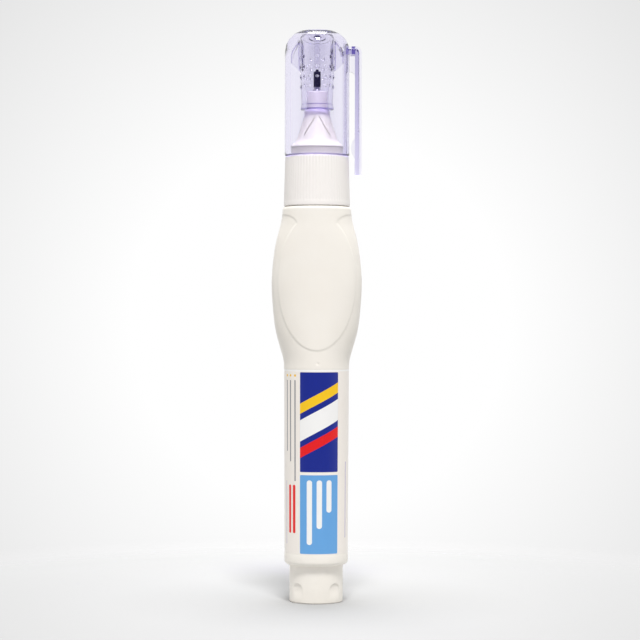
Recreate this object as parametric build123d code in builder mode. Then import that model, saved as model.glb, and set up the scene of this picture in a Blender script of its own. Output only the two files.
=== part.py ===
from build123d import *
import math
import os

# A squeeze correction pen, standing on its tail: the axis is Z, the tip is up, the clip is towards +X.
# All sizes are in millimetres.

# Clearances shared by the fits
slide_fit = 0.08
press_fit = 0.02
face_gap = 0.1

# Tail post
tail_length = 8.9
tail_floor = 1.2
tail_wall = 1.45
tail_edge = 0.6
plug_length = 4.0
post_relief = 0.02
notch_count = 4
notch_width = 2.8
notch_height = 4.6
notch_depth = 0.25

# Barrel and label
barrel_radius = 7.54
barrel_flare = 0.2
barrel_length = 47.1
barrel_shoulder = 0.9
bottle_wall = 1.65
label_thickness = 0.12
label_recess = 0.15
label_low_margin = 2.85
label_high_margin = 0.7
label_seam = 4.0

# Grip: a swelling that is wider than it is deep, with a raised panel on the front and the back
grip_length = 38.0
grip_half_width = 10.75
shoulder_margin = 0.07
shoulder_wall = 1.5
shoulder_round = 0.6
panel_step = 0.3
panel_low = 3.4
panel_wide_height = 20.0
panel_half_width = 9.2
panel_neck_drop = 4.3
panel_neck_half_width = 4.75
panel_flare_drop = 1.8
panel_corner = 1.2
panel_foot_fullness = 1.3
panel_lean = 0.55
# Each station is a share of the grip's length and the share of the full swelling reached there
grip_stations = [
    (0.0, 0.0),
    (0.05, 0.075),
    (0.113, 0.297),
    (0.21, 0.632),
    (0.316, 0.835),
    (0.513, 1.0),
    (0.679, 0.845),
    (0.789, 0.6),
    (0.903, 0.205),
    (1.0, 0.0),
]

# Neck and screw thread
neck_radius = 6.05
neck_wall = 1.0
neck_length = 9.3
thread_rise = 0.5
thread_clearance = 0.3
thread_pitch = 2.0
thread_turns = 1.5
thread_start = 3.0
gasket_thickness = 0.5

# Collar
collar_gap = 0.3
collar_skin = 0.21
collar_draft = 0.34
collar_lip = 0.9
collar_band = 1.0
rib_count = 64
rib_depth = 0.12

# Nozzle
flange_thickness = 1.0
lip_overlap = 0.38
skirt_length = 4.5
spigot_height = 2.4
spigot_draft = 0.06
foot_height = 1.3
foot_draft = 0.27
cone_foot_radius = 5.3
cone_height = 6.1
throat_radius = 3.05
throat_height = 1.1
holder_radius = 2.47
holder_height = 4.5
chamber_radius = 1.9
chamber_height = 9.0
seat_radius = 3.6
chamber_roof = 0.2

# Metal tip and the valve in it
tip_radius = 0.85
tip_bore = 0.43
tip_length = 4.5
tip_shoulder_radius = 1.2
tip_shoulder = 0.4
tip_round = 0.3
needle_radius = 0.35
needle_stand_out = 0.5
needle_head_radius = 1.5
needle_head = 1.2
needle_tail_radius = 0.6
needle_tail_reach = 2.5
seat_thickness = 1.5
flow_hole_count = 3
flow_hole_radius = 0.4
flow_hole_circle = 1.4
spring_wire = 0.36
spring_radius = 1.25
spring_pitch = 1.0

# Mixing ball
ball_radius = 2.4

# Cap
cap_wall = 1.25
cap_roof = 1.3
cap_headroom = 8.0
cap_dome_radius = 5.0
cap_lip_edge = 0.3
ceiling_drop = 0.4
ceiling_edge_drop = 4.9
stem_radius = 0.68
stem_gap = 0.35
stem_well = 0.3
sleeve_top_radius = 4.27
sleeve_mouth_radius = 3.72
sleeve_bore = 2.15
sleeve_lap = 5.2
sleeve_bead = 0.16
sleeve_bead_height = 0.6
dot_columns = 14
dot_rows = 3
dot_pitch = 2.38
dot_radius = 0.42
dot_bulge = 0.12
dot_drop = 4.0
fin_thickness = 1.2
fin_drop = 6.1
fin_slope = 2.0

# Clip
clip_width = 4.0
clip_length = 30.8
clip_drop = 3.8
clip_root = 2.05
clip_root_reach = 0.45
clip_gap = 1.48
clip_thickness = 1.45
clip_edge = 0.5
clip_web = 4.0
clip_web_width = 1.2
clip_corner = 1.5
clip_nub_rise = 0.88
clip_nub_height = 4.8
clip_nub_above_foot = 4.2
clip_foot = 0.5
clip_slack = 0.15

# Heights along the axis that follow from the sizes
barrel_low = tail_length
grip_low = barrel_low + barrel_length
grip_high = grip_low + grip_length
neck_high = grip_high + neck_length
flange_low = neck_high + gasket_thickness + face_gap
flange_high = flange_low + flange_thickness
collar_low = grip_high + collar_gap
lip_low = flange_high + face_gap
collar_high = lip_low + collar_lip
spigot_high = collar_high + spigot_height
foot_high = spigot_high + foot_height
cone_high = foot_high + cone_height
throat_high = cone_high + throat_height
holder_high = throat_high + holder_height
tip_high = holder_high + tip_shoulder + tip_length
needle_high = tip_high + needle_stand_out
chamber_high = throat_high + chamber_roof
chamber_low = chamber_high - chamber_height
skirt_low = flange_low - skirt_length
cap_low = collar_high + face_gap
ceiling_high = needle_high + cap_headroom
cap_high = ceiling_high + cap_roof
ceiling_low = ceiling_high - ceiling_drop

# Radii that follow from the fits
barrel_high_radius = barrel_radius + barrel_flare
barrel_bore = barrel_radius - bottle_wall
barrel_high_bore = barrel_high_radius - bottle_wall
neck_bore = neck_radius - neck_wall
collar_bore = neck_radius + thread_rise + thread_clearance
collar_high_radius = collar_bore + thread_rise + collar_skin
collar_low_radius = collar_high_radius + collar_draft
shoulder_radius = collar_low_radius + shoulder_margin
flange_radius = collar_bore - face_gap
spigot_radius = flange_radius - lip_overlap
spigot_high_radius = spigot_radius - spigot_draft
tail_radius = spigot_radius - post_relief
cap_bore = spigot_radius + slide_fit
cap_radius = cap_bore + cap_wall


def barrel_surface(height):
    # The barrel's radius at a height above its foot: it widens a little towards the grip
    return barrel_radius + barrel_flare * height / barrel_length


def grip_section(share, swell, inset):
    # Half width and half depth of the grip at one station, moved inwards by the inset
    base = barrel_high_radius + (shoulder_radius - barrel_high_radius) * share
    half_width = base + (grip_half_width - base) * swell
    return half_width - inset, base - inset


def grip_loft(inset, low, high, mode):
    # The swelling between its two ends, as a loft through ellipses
    first_share, first_swell = grip_stations[0]
    last_share, last_swell = grip_stations[-1]
    stations = [(low, first_share, first_swell)]
    for share, swell in grip_stations[1:-1]:
        stations.append((grip_low + grip_length * share, share, swell))
    stations.append((high, last_share, last_swell))
    sections = []
    for height, share, swell in stations:
        half_width, half_depth = grip_section(share, swell, inset)
        with BuildSketch(Plane.XY.offset(height)) as section:
            Ellipse(half_width, half_depth)
        sections.append(section.sketch)
    loft(sections, mode=mode)


def helix_point(radius, base, pitch, turn):
    angle = 2 * math.pi * turn
    return Vector(radius * math.cos(angle), radius * math.sin(angle), base + pitch * turn)


def helix_heading(radius, pitch, turn):
    angle = 2 * math.pi * turn
    rise = pitch / (2 * math.pi)
    return Vector(-radius * math.sin(angle), radius * math.cos(angle), rise).normalized()


def wind_helix(radius, base, pitch, turns):
    # Two tangent arcs for each quarter turn
    quarters = 4
    steps = max(1, math.ceil(turns * quarters))
    for step in range(steps):
        start_turn = turns * step / steps
        end_turn = turns * (step + 1) / steps
        start = helix_point(radius, base, pitch, start_turn)
        end = helix_point(radius, base, pitch, end_turn)
        leave = helix_heading(radius, pitch, start_turn)
        arrive = helix_heading(radius, pitch, end_turn)
        chord = end - start
        bend = 2 * (1 - leave.dot(arrive))
        along = chord.dot(leave + arrive)
        reach = (math.sqrt(along**2 + bend * chord.dot(chord)) - along) / bend
        first_corner = start + leave * reach
        second_corner = end - arrive * reach
        middle = (first_corner + second_corner) * 0.5
        TangentArc(start, middle, tangent=leave)
        TangentArc(middle, end, tangent=second_corner - first_corner)


def helix_plane(radius, base, pitch):
    return Plane(helix_point(radius, base, pitch, 0), z_dir=helix_heading(radius, pitch, 0))


def helix_tube(radius, base, pitch, turns, tube_radius):
    with BuildLine() as route:
        wind_helix(radius, base, pitch, turns)
    with BuildSketch(helix_plane(radius, base, pitch)) as section:
        Circle(tube_radius)
    sweep(section.sketch, path=route.wires()[0])


os.makedirs("parts", exist_ok=True)

# Bottle: barrel, grip with its raised panels, shoulder and threaded neck in one wall
thread_base = grip_high + thread_start
label_top = barrel_length - label_high_margin
recess_low_radius = barrel_surface(label_low_margin) - label_recess
recess_high_radius = barrel_surface(label_top) - label_recess

# The raised panel is the part of a slightly larger grip that lies inside the panel's outline
panel_foot = (0, grip_low + panel_low)
panel_wide = (panel_half_width, grip_low + panel_wide_height)
panel_waist = (panel_neck_half_width, grip_high - panel_neck_drop)
panel_flare = (grip_half_width, grip_high - panel_flare_drop)
panel_top = (grip_half_width, grip_high)

with BuildPart() as raised_panel:
    grip_loft(-panel_step, grip_low, grip_high, Mode.ADD)
    with BuildSketch(Plane.XZ) as panel_outline:
        with BuildLine():
            Spline(
                panel_foot,
                panel_wide,
                tangents=[(1, 0), (0, 1)],
                tangent_scalars=[panel_foot_fullness, 1],
            )
            Spline(panel_wide, panel_waist, tangents=[(0, 1), (-panel_lean, 1)])
            Polyline(panel_waist, panel_flare, panel_top, (0, grip_high), panel_foot)
        make_face()
        mirror(about=Plane.YZ)
        waist_corners = panel_outline.vertices().filter_by(
            lambda corner: abs(abs(corner.X) - panel_neck_half_width) < face_gap
        )
        fillet(waist_corners, panel_corner)
    extrude(amount=2 * grip_half_width, both=True, mode=Mode.INTERSECT)

with BuildPart() as bottle:
    grip_loft(0, grip_low, grip_high, Mode.ADD)
    add(raised_panel.part)
    fillet(bottle.faces().sort_by(Axis.Z)[-1].edges(), shoulder_round)

    with BuildSketch(Plane.XZ):
        with BuildLine():
            Polyline(
                (0, barrel_low),
                (barrel_radius - barrel_shoulder, barrel_low),
            )
            RadiusArc(
                (barrel_radius - barrel_shoulder, barrel_low),
                (barrel_radius, barrel_low + barrel_shoulder),
                -barrel_shoulder,
            )
            Polyline(
                (barrel_radius, barrel_low + barrel_shoulder),
                (barrel_high_radius, grip_low),
                (0, grip_low),
                (0, barrel_low),
            )
        make_face()
    revolve(axis=Axis.Z)
    with BuildSketch(Plane.XY.offset(grip_high)):
        Circle(neck_radius)
    extrude(amount=neck_length)

    # The recess that the label lies in
    with BuildSketch(Plane((0, 0, barrel_low), x_dir=(1, 0, 0), z_dir=(0, -1, 0))):
        with BuildLine():
            Polyline(
                (recess_low_radius, label_low_margin),
                (barrel_high_radius, label_low_margin),
                (barrel_high_radius, label_top),
                (recess_high_radius, label_top),
                close=True,
            )
        make_face()
    revolve(axis=Axis.Z, mode=Mode.SUBTRACT)

    # The space for the fluid
    grip_loft(bottle_wall, grip_low, grip_high - shoulder_wall, Mode.SUBTRACT)
    with BuildSketch(Plane.XY.offset(barrel_low)):
        Circle(barrel_bore)
    with BuildSketch(Plane.XY.offset(grip_low)):
        Circle(barrel_high_bore)
    loft(mode=Mode.SUBTRACT)
    with BuildSketch(Plane.XY.offset(neck_high)):
        Circle(neck_bore)
    extrude(amount=-neck_length - 2 * shoulder_wall, mode=Mode.SUBTRACT)

    helix_tube(neck_radius, thread_base, thread_pitch, thread_turns, thread_rise)
bottle.part.label = "bottle"
export_step(bottle.part, "parts/bottle.step")

# Tail plug: the post that the pen stands on, and the short cup that closes the barrel
with BuildPart() as tail_plug:
    with BuildSketch():
        Circle(tail_radius)
    extrude(amount=tail_length)
    fillet(tail_plug.faces().sort_by(Axis.Z)[0].edges(), tail_edge)
    with BuildSketch(Plane.XY.offset(tail_length)):
        Circle(barrel_bore - press_fit)
    extrude(amount=plug_length)
    with BuildSketch(Plane.XY.offset(tail_floor)):
        Circle(tail_radius - tail_wall)
    extrude(amount=tail_length + plug_length, mode=Mode.SUBTRACT)
    for notch in range(notch_count):
        turn = 360 / notch_count * (notch + 0.5)
        outward = Vector(math.cos(math.radians(turn)), math.sin(math.radians(turn)), 0)
        notch_face = Plane(outward * (tail_radius - notch_depth), z_dir=outward, x_dir=(0, 0, 1))
        with BuildSketch(notch_face):
            Rectangle(
                notch_height - notch_width / 2,
                notch_width,
                align=(Align.MIN, Align.CENTER),
            )
            with Locations((notch_height - notch_width / 2, 0)):
                Circle(notch_width / 2)
        extrude(amount=2 * notch_depth, mode=Mode.SUBTRACT)
tail_plug.part.label = "tail_plug"
export_step(tail_plug.part, "parts/tail_plug.step")

# Label: a film that lies in the barrel's recess, open by a narrow seam at the back
label_low_radius = recess_low_radius + press_fit / 2
label_high_radius = recess_high_radius + press_fit / 2
label_turn = math.radians(90 + label_seam / 2)
label_heading = (math.cos(label_turn), math.sin(label_turn), 0)
label_normal = (math.sin(label_turn), -math.cos(label_turn), 0)

with BuildPart() as label:
    with BuildSketch(Plane((0, 0, barrel_low), x_dir=label_heading, z_dir=label_normal)):
        with BuildLine():
            Polyline(
                (label_low_radius, label_low_margin + press_fit),
                (label_low_radius + label_thickness, label_low_margin + press_fit),
                (label_high_radius + label_thickness, label_top - press_fit),
                (label_high_radius, label_top - press_fit),
                close=True,
            )
        make_face()
    revolve(axis=Axis.Z, revolution_arc=360 - label_seam)
label.part.label = "label"
export_step(label.part, "parts/label.step")


def rib_outline(radius):
    # A ring of pointed ribs: crests on the radius, valleys a rib's depth below it
    points = []
    for rib in range(rib_count):
        for reach, share in ((radius, 0.0), (radius - rib_depth, 0.5)):
            angle = 2 * math.pi * (rib + share) / rib_count
            points.append((reach * math.cos(angle), reach * math.sin(angle)))
    Polyline(*points, close=True)


# Collar: the ribbed ring that screws onto the neck and holds the nozzle's flange under its lip
collar_height = collar_high - collar_low
band_radius = collar_low_radius - collar_draft * collar_band / collar_height

with BuildPart() as collar:
    for height, radius in ((collar_low + collar_band, band_radius), (collar_high, collar_high_radius)):
        with BuildSketch(Plane.XY.offset(height)):
            with BuildLine():
                rib_outline(radius)
            make_face()
    loft(ruled=True)
    with BuildSketch(Plane.XY.offset(collar_low)):
        Circle(collar_low_radius)
    with BuildSketch(Plane.XY.offset(collar_low + collar_band)):
        Circle(band_radius)
    loft()
    with BuildSketch(Plane.XY.offset(collar_low)):
        Circle(collar_bore)
    extrude(amount=lip_low - collar_low, mode=Mode.SUBTRACT)
    with BuildSketch(Plane.XY.offset(collar_high)):
        Circle(spigot_radius + slide_fit)
    extrude(amount=-2 * collar_lip, mode=Mode.SUBTRACT)
    helix_tube(collar_bore, thread_base - thread_pitch / 2, thread_pitch, thread_turns, thread_rise)
collar.part.label = "collar"
export_step(collar.part, "parts/collar.step")

# Neck gasket: the washer under the nozzle's flange
with BuildPart() as neck_gasket:
    with BuildSketch(Plane.XY.offset(neck_high + face_gap)):
        Circle(neck_radius)
        Circle(neck_bore, mode=Mode.SUBTRACT)
    extrude(amount=gasket_thickness)
neck_gasket.part.label = "neck_gasket"
export_step(neck_gasket.part, "parts/neck_gasket.step")

# Nozzle: skirt in the neck, flange, spigot for the cap, cone, throat and tip holder
with BuildPart() as nozzle:
    with BuildSketch(Plane.XZ):
        with BuildLine():
            Polyline(
                (seat_radius, skirt_low),
                (neck_bore - slide_fit, skirt_low),
                (neck_bore - slide_fit, flange_low),
                (flange_radius, flange_low),
                (flange_radius, flange_high),
                (spigot_radius, flange_high),
                (spigot_high_radius, spigot_high),
                (spigot_radius - foot_draft, foot_high),
                (cone_foot_radius, foot_high),
                (throat_radius, cone_high),
                (throat_radius, throat_high),
                (holder_radius, throat_high),
                (holder_radius, holder_high),
                (tip_radius + press_fit, holder_high),
                (tip_radius + press_fit, chamber_high),
                (chamber_radius, chamber_high),
                (chamber_radius, chamber_low),
                (seat_radius, chamber_low),
                close=True,
            )
        make_face()
    revolve(axis=Axis.Z)
nozzle.part.label = "nozzle"
export_step(nozzle.part, "parts/nozzle.step")

# Metal tip: a steel tube pressed into the holder, resting on it with a small shoulder
with BuildPart() as metal_tip:
    with BuildSketch(Plane.XZ):
        with BuildLine():
            Polyline(
                (tip_bore, chamber_high),
                (tip_radius, chamber_high),
                (tip_radius, holder_high),
                (tip_shoulder_radius, holder_high),
                (tip_radius, holder_high + tip_shoulder),
                (tip_radius, tip_high - tip_round),
            )
            RadiusArc((tip_radius, tip_high - tip_round), (tip_radius - tip_round, tip_high), -tip_round)
            Polyline(
                (tip_radius - tip_round, tip_high),
                (tip_bore, tip_high),
                (tip_bore, chamber_high),
            )
        make_face()
    revolve(axis=Axis.Z)
metal_tip.part.label = "metal_tip"
export_step(metal_tip.part, "parts/metal_tip.step")

# Valve needle: the thin end in the tip, the head that the spring lifts, and the guided tail
head_high = chamber_high - face_gap
head_low = head_high - needle_head
seat_low = chamber_low - seat_thickness
tail_low = seat_low - needle_tail_reach

with BuildPart() as valve_needle:
    with BuildSketch(Plane.XZ):
        with BuildLine():
            Polyline(
                (0, tail_low),
                (needle_tail_radius, tail_low),
                (needle_tail_radius, head_low),
                (needle_head_radius, head_low),
                (needle_head_radius, head_high),
                (needle_radius, head_high),
                (needle_radius, needle_high - needle_radius),
            )
            RadiusArc((needle_radius, needle_high - needle_radius), (0, needle_high), -needle_radius)
            Line((0, needle_high), (0, tail_low))
        make_face()
    revolve(axis=Axis.Z)
valve_needle.part.label = "valve_needle"
export_step(valve_needle.part, "parts/valve_needle.step")

# Spring seat: the retainer behind the spring, with flow holes round the needle's tail
with BuildPart() as spring_seat:
    with BuildSketch(Plane.XY.offset(seat_low)):
        Circle(seat_radius - press_fit)
        Circle(needle_tail_radius + slide_fit, mode=Mode.SUBTRACT)
        with PolarLocations(flow_hole_circle, flow_hole_count):
            Circle(flow_hole_radius, mode=Mode.SUBTRACT)
    extrude(amount=seat_thickness)
spring_seat.part.label = "spring_seat"
export_step(spring_seat.part, "parts/spring_seat.step")

# Valve spring: one coil from the seat to the needle's head
coil_low = chamber_low + face_gap + spring_wire / 2
coil_high = head_low - face_gap - spring_wire / 2
coil_turns = (coil_high - coil_low) / spring_pitch

with BuildPart() as valve_spring:
    helix_tube(spring_radius, coil_low, spring_pitch, coil_turns, spring_wire / 2)
valve_spring.part.label = "valve_spring"
export_step(valve_spring.part, "parts/valve_spring.step")

points_per_turn = 24
coil_points = [
    helix_point(spring_radius, coil_low, spring_pitch, step / points_per_turn)
    for step in range(int(coil_turns * points_per_turn))
]
coil_gaps = [
    (coil_points[first] - coil_points[second]).length - spring_wire
    for first in range(len(coil_points))
    for second in range(first + points_per_turn // 2, len(coil_points))
]
print("least gap of the spring to itself", round(min(coil_gaps), 3))

# Mixing ball: it lies loose on the floor of the tail plug
with BuildPart() as mixing_ball:
    with BuildSketch(Plane.XZ):
        with BuildLine():
            ball_middle = tail_floor + face_gap + ball_radius
            ball_arc = ThreePointArc(
                (0, ball_middle - ball_radius),
                (ball_radius, ball_middle),
                (0, ball_middle + ball_radius),
            )
            Line(ball_arc @ 1, ball_arc @ 0)
        make_face()
    revolve(axis=Axis.Z)
mixing_ball.part.label = "mixing_ball"
export_step(mixing_ball.part, "parts/mixing_ball.step")

# Cap shell: a clear domed cup on the spigot, with a stem over the needle and a window for the clip
clip_high = cap_high - clip_drop
clip_root_low = clip_high - clip_root
dome_low = cap_high - cap_dome_radius
ceiling_edge_low = ceiling_high - ceiling_edge_drop

with BuildPart() as cap_shell:
    with BuildSketch(Plane.XZ):
        with BuildLine():
            Polyline(
                (cap_bore, cap_low),
                (cap_radius - cap_lip_edge, cap_low),
                (cap_radius, cap_low + cap_lip_edge),
                (cap_radius, dome_low),
            )
            RadiusArc((cap_radius, dome_low), (cap_radius - cap_dome_radius, cap_high), -cap_dome_radius)
            Polyline(
                (cap_radius - cap_dome_radius, cap_high),
                (0, cap_high),
                (0, needle_high + stem_gap),
                (stem_radius, needle_high + stem_gap),
                (stem_radius, ceiling_high),
                (sleeve_bore, ceiling_high - stem_well),
                (sleeve_bore, ceiling_low),
                (sleeve_top_radius, ceiling_low),
            )
            TangentArc((cap_bore, ceiling_edge_low), (sleeve_top_radius, ceiling_low), tangent=(0, 1))
            Line((cap_bore, ceiling_edge_low), (cap_bore, cap_low))
        make_face()
    revolve(axis=Axis.Z)
    with BuildSketch(Plane.YZ):
        with Locations((0, clip_root_low - clip_slack)):
            Rectangle(
                clip_width + 2 * clip_slack,
                clip_root + 2 * clip_slack,
                align=(Align.CENTER, Align.MIN),
            )
    extrude(amount=2 * cap_radius, mode=Mode.SUBTRACT)
cap_shell.part.label = "cap_shell"
export_step(cap_shell.part, "parts/cap_shell.step")

# Inner cap: the sleeve under the cap's ceiling, closing round the tip holder, with rows of moulded dots
# and a fin on either side that reaches the cap's wall
sleeve_low = throat_high + 2 * face_gap
sleeve_step = sleeve_low + sleeve_lap
sleeve_height = ceiling_low - sleeve_low
dot_ball = (dot_radius**2 + dot_bulge**2) / (2 * dot_bulge)
dot_high = ceiling_low - dot_drop
fin_root = (sleeve_bore + sleeve_mouth_radius) / 2
fin_reach = cap_bore - slide_fit
fin_low = ceiling_low - fin_drop

with BuildPart() as inner_cap:
    with BuildSketch(Plane.XZ):
        with BuildLine():
            Polyline(
                (holder_radius + slide_fit, sleeve_low),
                (sleeve_mouth_radius + sleeve_bead, sleeve_low),
                (sleeve_mouth_radius + sleeve_bead, sleeve_low + sleeve_bead_height),
                (sleeve_mouth_radius, sleeve_low + 2 * sleeve_bead_height),
                (sleeve_top_radius, ceiling_low),
                (sleeve_bore, ceiling_low),
                (sleeve_bore, sleeve_step + holder_radius - sleeve_bore),
                (holder_radius + slide_fit, sleeve_step),
                close=True,
            )
        make_face()
    revolve(axis=Axis.Z)
    dot_places = []
    for column in range(dot_columns):
        angle = 2 * math.pi * column / dot_columns - math.pi / 2
        for row in range(dot_rows):
            height = dot_high - dot_pitch * (row + column % 2)
            surface = sleeve_top_radius - (sleeve_top_radius - sleeve_mouth_radius) * (
                (ceiling_low - height) / sleeve_height
            )
            reach = surface + dot_bulge - dot_ball
            dot_places.append((reach * math.cos(angle), reach * math.sin(angle), height))
    with Locations(*dot_places):
        Sphere(dot_ball)
    with BuildSketch(Plane.XZ):
        with BuildLine():
            Polyline(
                (sleeve_top_radius, ceiling_low),
                (fin_root, ceiling_low),
                (fin_root, fin_low - fin_slope),
                (fin_reach, fin_low),
                (fin_reach, ceiling_edge_low),
            )
            TangentArc((fin_reach, ceiling_edge_low), (sleeve_top_radius, ceiling_low), tangent=(0, 1))
        make_face()
        mirror(about=Plane.YZ)
    extrude(amount=fin_thickness / 2, both=True)
    with BuildSketch(Plane.XZ):
        with Locations((cap_bore - clip_root_reach - clip_slack, clip_root_low - clip_slack)):
            Rectangle(cap_radius, cap_radius, align=(Align.MIN, Align.MIN))
    extrude(amount=fin_thickness, both=True, mode=Mode.SUBTRACT)
inner_cap.part.label = "inner_cap"
export_step(inner_cap.part, "parts/inner_cap.step")

# Clip: a root in the cap's window, a long arm, and a thin web and nub on the arm's inner face
arm_inner = cap_radius + clip_gap
arm_outer = arm_inner + clip_thickness
clip_low = clip_high - clip_length
nub_low = clip_low + clip_nub_above_foot
nub_high = nub_low + clip_nub_height
web_low = clip_root_low - clip_web
web_round = clip_gap - clip_slack

with BuildPart() as clip:
    with BuildSketch(Plane.XZ):
        with BuildLine():
            Polyline(
                (arm_outer - clip_corner, clip_high),
                (cap_bore - clip_root_reach, clip_high),
                (cap_bore - clip_root_reach, clip_root_low),
                (arm_inner, clip_root_low),
                (arm_inner, clip_low + clip_foot),
                (arm_inner + clip_foot, clip_low),
                (arm_outer, clip_low),
                (arm_outer, clip_high - clip_corner),
            )
            RadiusArc(
                (arm_outer, clip_high - clip_corner),
                (arm_outer - clip_corner, clip_high),
                -clip_corner,
            )
        make_face()
    extrude(amount=clip_width / 2, both=True)
    fillet(clip.edges().filter_by(Axis.Z).group_by(Axis.X)[-1], clip_edge)
    with BuildSketch(Plane.XZ):
        with BuildLine():
            Polyline(
                (arm_inner, web_low - web_round),
                (arm_inner, clip_root_low),
                (cap_radius + clip_slack, clip_root_low),
                (cap_radius + clip_slack, web_low),
            )
            RadiusArc((cap_radius + clip_slack, web_low), (arm_inner, web_low - web_round), web_round)
        make_face()
        with BuildLine():
            nub_arc = ThreePointArc(
                (arm_inner, nub_high),
                (arm_inner - clip_nub_rise, (nub_low + nub_high) / 2),
                (arm_inner, nub_low),
            )
            Line(nub_arc @ 1, nub_arc @ 0)
        make_face()
    extrude(amount=clip_web_width / 2, both=True)
clip.part.label = "clip"
export_step(clip.part, "parts/clip.step")
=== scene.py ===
import math

import bmesh
import bpy
from mathutils import Matrix, Vector


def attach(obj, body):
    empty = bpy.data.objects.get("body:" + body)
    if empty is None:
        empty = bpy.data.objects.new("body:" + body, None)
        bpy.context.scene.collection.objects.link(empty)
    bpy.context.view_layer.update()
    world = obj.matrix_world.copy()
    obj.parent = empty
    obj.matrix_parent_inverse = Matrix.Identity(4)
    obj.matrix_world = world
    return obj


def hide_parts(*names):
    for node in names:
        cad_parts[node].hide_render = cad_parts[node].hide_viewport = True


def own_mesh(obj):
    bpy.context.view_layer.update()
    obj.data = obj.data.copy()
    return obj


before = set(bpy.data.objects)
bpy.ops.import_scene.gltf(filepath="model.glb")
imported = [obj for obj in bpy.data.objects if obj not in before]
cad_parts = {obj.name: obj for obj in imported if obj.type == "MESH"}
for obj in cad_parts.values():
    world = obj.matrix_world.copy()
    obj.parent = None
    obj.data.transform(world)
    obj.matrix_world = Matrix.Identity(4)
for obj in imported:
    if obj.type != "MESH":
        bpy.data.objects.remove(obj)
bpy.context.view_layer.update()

scene = bpy.context.scene
mm = 0.001
roundSteps = 5  # segments on a rounded corner of a profile
mergeGap = 0.0002  # points of a turned shape that are this near become one
hair = 0.01  # slack where points are picked by their place
plainWhite = (1, 1, 1, 1)


# small helpers for meshes

def wireProfile(size, corners, closed=True):
    # a corner is a radius, a height and a rounding, as millimetres or as names of the piece's sizes
    corners = [[size.get(value, value) for value in corner] for corner in corners]
    bm = bmesh.new()
    ring = [bm.verts.new((radius * mm, 0, height * mm)) for radius, height, soft in corners]
    ends = ring[1:] + ring[:1] if closed else ring[1:]
    for start, end in zip(ring, ends):
        bm.edges.new((start, end))
    for corner, (radius, height, soft) in zip(ring, corners):
        if soft:
            bmesh.ops.bevel(bm, geom=[corner], offset=soft * mm, offset_type="OFFSET", segments=roundSteps,
                            profile=0.5, affect="VERTICES", material=-1)
    return bm


def splitLong(bm, longest, beyond=0):
    # cut long profile edges beyond a radius, so that the wall has rings to shape
    for edge in list(bm.edges):
        cuts = int(edge.calc_length() / (longest * mm))
        if cuts and min(vert.co.x for vert in edge.verts) >= beyond * mm:
            bmesh.ops.subdivide_edges(bm, edges=[edge], cuts=cuts)


def vertsOf(made):
    return [item for item in made["geom"] if isinstance(item, bmesh.types.BMVert)]


def faceOut(bm):
    bmesh.ops.recalc_face_normals(bm, faces=bm.faces)


def lathe(bm, steps):
    # spin one sixteenth, then double it up to the full turn
    doublings = 4
    shares = 2**doublings
    turn = 2 * math.pi / shares
    bmesh.ops.spin(bm, geom=bm.verts[:] + bm.edges[:], cent=(0, 0, 0), axis=(0, 0, 1), angle=turn,
                   steps=steps // shares)
    for doubling in range(doublings):
        copy = bmesh.ops.duplicate(bm, geom=bm.verts[:] + bm.edges[:] + bm.faces[:])
        bmesh.ops.rotate(bm, verts=vertsOf(copy), cent=(0, 0, 0), matrix=Matrix.Rotation(turn, 3, "Z"))
        turn *= 2
    bmesh.ops.remove_doubles(bm, verts=bm.verts, dist=mergeGap * mm)
    faceOut(bm)


def pushOut(vert, rise):
    # move a point away from the axis
    x, y, z = vert.co / mm
    radius = math.hypot(x, y)
    vert.co.x += x / radius * rise * mm
    vert.co.y += y / radius * rise * mm


def joinInto(bm, extra):
    holder = bpy.data.meshes.new("holder")
    extra.to_mesh(holder)
    extra.free()
    bm.from_mesh(holder)
    bpy.data.meshes.remove(holder)


def addCoil(bm, size):
    # one round bead wound upwards
    stepsPerTurn, beadSteps = 64, 12
    coil = bmesh.new()
    upright = Matrix.Rotation(math.pi / 2, 4, "X")
    place = Matrix.Translation((size["radius"] * mm, 0, size["low"] * mm)) @ upright
    bmesh.ops.create_circle(coil, cap_ends=True, segments=beadSteps, radius=size["rise"] * mm, matrix=place)
    bmesh.ops.spin(coil, geom=coil.verts[:] + coil.edges[:] + coil.faces[:], cent=(0, 0, 0), axis=(0, 0, 1),
                   dvec=(0, 0, size["pitch"] * mm / stepsPerTurn), angle=2 * math.pi * size["turns"],
                   steps=int(stepsPerTurn * size["turns"]))
    faceOut(coil)
    joinInto(bm, coil)


def smoothStep(low, high, value):
    share = min(1, max(0, (value - low) / (high - low)))
    return share * share * (3 - 2 * share)


def addPiece(name, bm, body, material, node, sharpDegrees=42):
    mesh = bpy.data.meshes.new(name)
    bm.to_mesh(mesh)
    bm.free()
    mesh.shade_smooth()
    mesh.set_sharp_from_angle(angle=math.radians(sharpDegrees))
    mesh.materials.append(material)
    piece = bpy.data.objects.new(name, mesh)
    scene.collection.objects.link(piece)
    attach(piece, body)
    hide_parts(node)
    print("made", name, len(mesh.polygons), "faces")
    return piece


# small helpers for materials

def addNode(tree, kind, inputs=None, **settings):
    made = tree.nodes.new(kind)
    for key, value in settings.items():
        setattr(made, key, value)
    for key, value in (inputs or {}).items():
        if isinstance(value, bpy.types.NodeSocket):
            tree.links.new(value, made.inputs[key])
        else:
            made.inputs[key].default_value = value
    return made


def calc(tree, operation, first, second=0.0, third=0.0):
    return addNode(tree, "ShaderNodeMath", {0: first, 1: second, 2: third}, operation=operation).outputs[0]


def mapRange(tree, value, fromEnds, toEnds=(0.0, 1.0), **settings):
    return addNode(tree, "ShaderNodeMapRange", {
        "Value": value, "From Min": fromEnds[0], "From Max": fromEnds[1], "To Min": toEnds[0],
        "To Max": toEnds[1]}, **settings).outputs[0]


def mixColor(tree, share, first, second):
    return addNode(tree, "ShaderNodeMix", {"Factor": share, 6: first, 7: second}, data_type="RGBA").outputs[2]


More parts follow.
